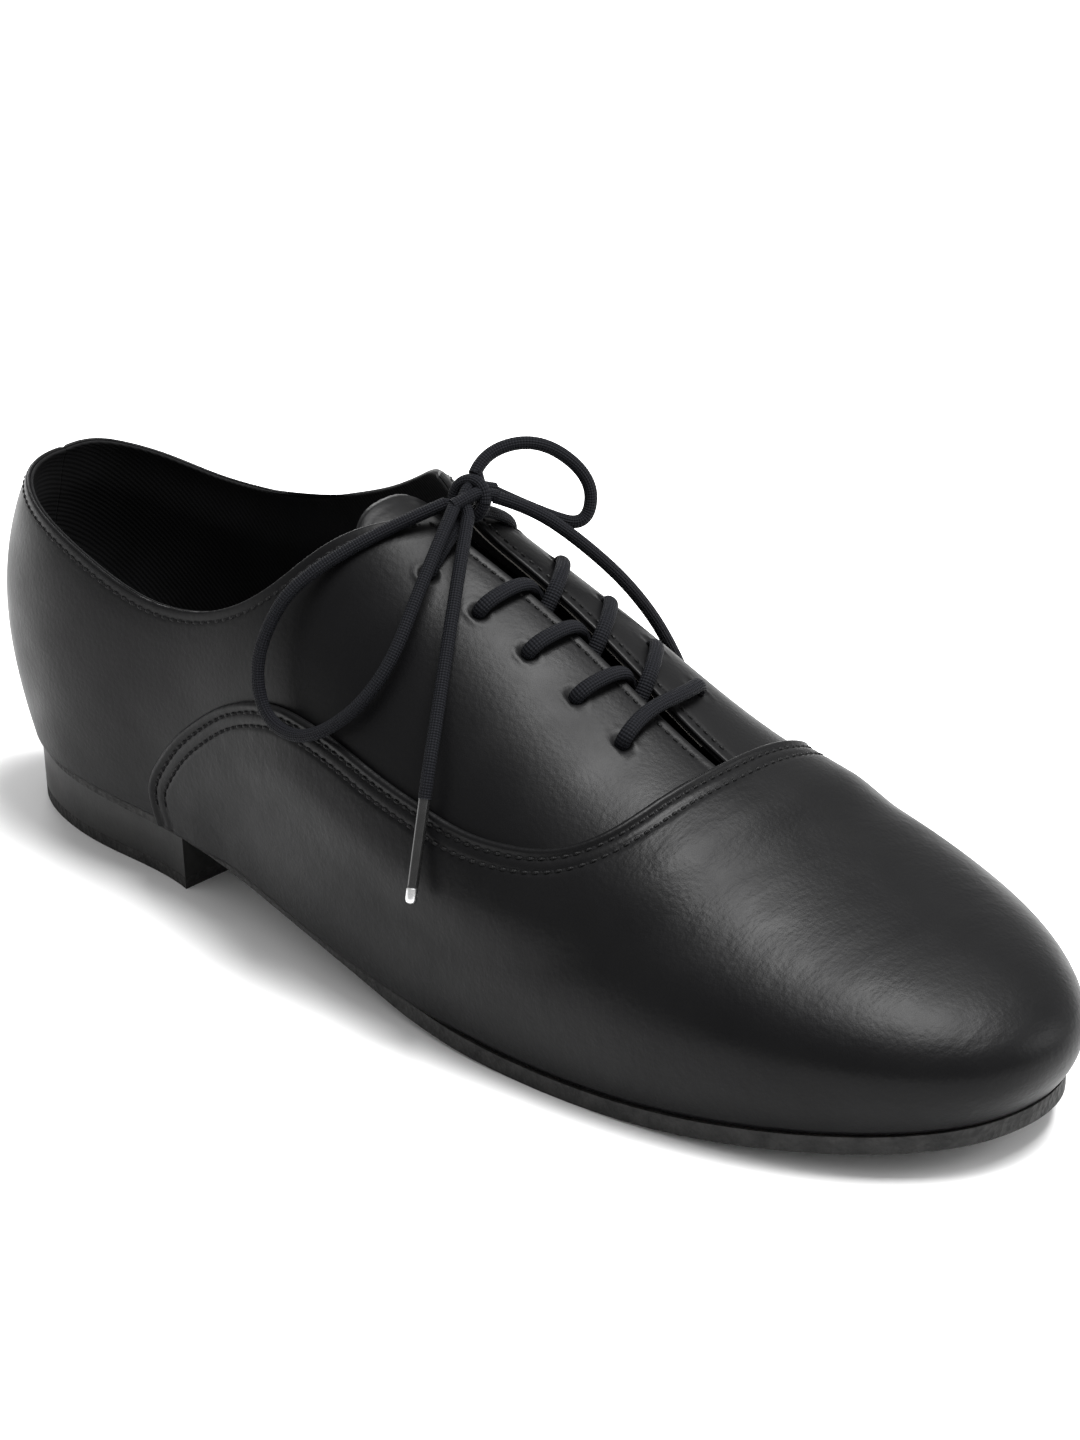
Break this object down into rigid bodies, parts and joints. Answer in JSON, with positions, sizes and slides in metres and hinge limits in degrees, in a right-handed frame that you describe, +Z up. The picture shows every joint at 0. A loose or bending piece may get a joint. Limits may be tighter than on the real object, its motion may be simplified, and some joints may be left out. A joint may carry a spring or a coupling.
{
  "type": "oxford dance shoe",
  "caption": "Black leather lace-up Oxford dance shoe with closed facings, a swept vamp edge, a thin sole and a low block heel, laces tied in a bow; right foot.",
  "frame": {"origin": "middle of the flat ground face of the heel's top lift, at ground level", "axes": "+X to the toe, +Y to the wearer's left (medial side), +Z up"},
  "size_m": [0.3032, 0.1101, 0.1193],
  "materials": {
    "upper_leather": "semi-matte smooth calf",
    "lining_black": "matte",
    "sole_black": "matte, finely grained",
    "heel_black": "satin",
    "nail_steel": "plain",
    "board_brown": "pressed fibre board",
    "stiffener_grey": "felted, resin stiffened",
    "lace_textile": "woven round cord",
    "aglet_plastic": "gloss"
  },
  "bodies": {
    "shoe_body": {"outsole": "sole_black", "heel_block": "heel_black", "heel_top_lift": "sole_black", "heel_nails": "nail_steel", "insole_board": "board_brown", "shank": "nail_steel", "sock_lining": "lining_black", "vamp": "upper_leather", "vamp_lining": "lining_black", "toe_puff": "stiffener_grey", "heel_counter": "stiffener_grey", "quarter_lateral": "upper_leather", "quarter_medial": "upper_leather", "quarter_lining_lateral": "lining_black", "quarter_lining_medial": "lining_black", "facing_stay_lateral": "stiffener_grey", "facing_stay_medial": "stiffener_grey", "lace_through_eyelets": "lace_textile", "lace_knot": "lace_textile", "lace_loop_lateral": "lace_textile", "lace_loop_medial": "lace_textile", "lace_end_lateral": "lace_textile", "lace_end_medial": "lace_textile", "aglet_lateral": "aglet_plastic", "aglet_medial": "aglet_plastic"},
    "tongue_body": {"tongue": "upper_leather", "tongue_lining": "lining_black"}
  },
  "joints": [
    {"name": "tongue_fold", "type": "hinge", "parent": "shoe_body", "child": "tongue_body", "pos_m": [0.181, 0.007, 0.053], "axis": [0, -1, 0], "range_deg": [0, 8]}
  ]
}
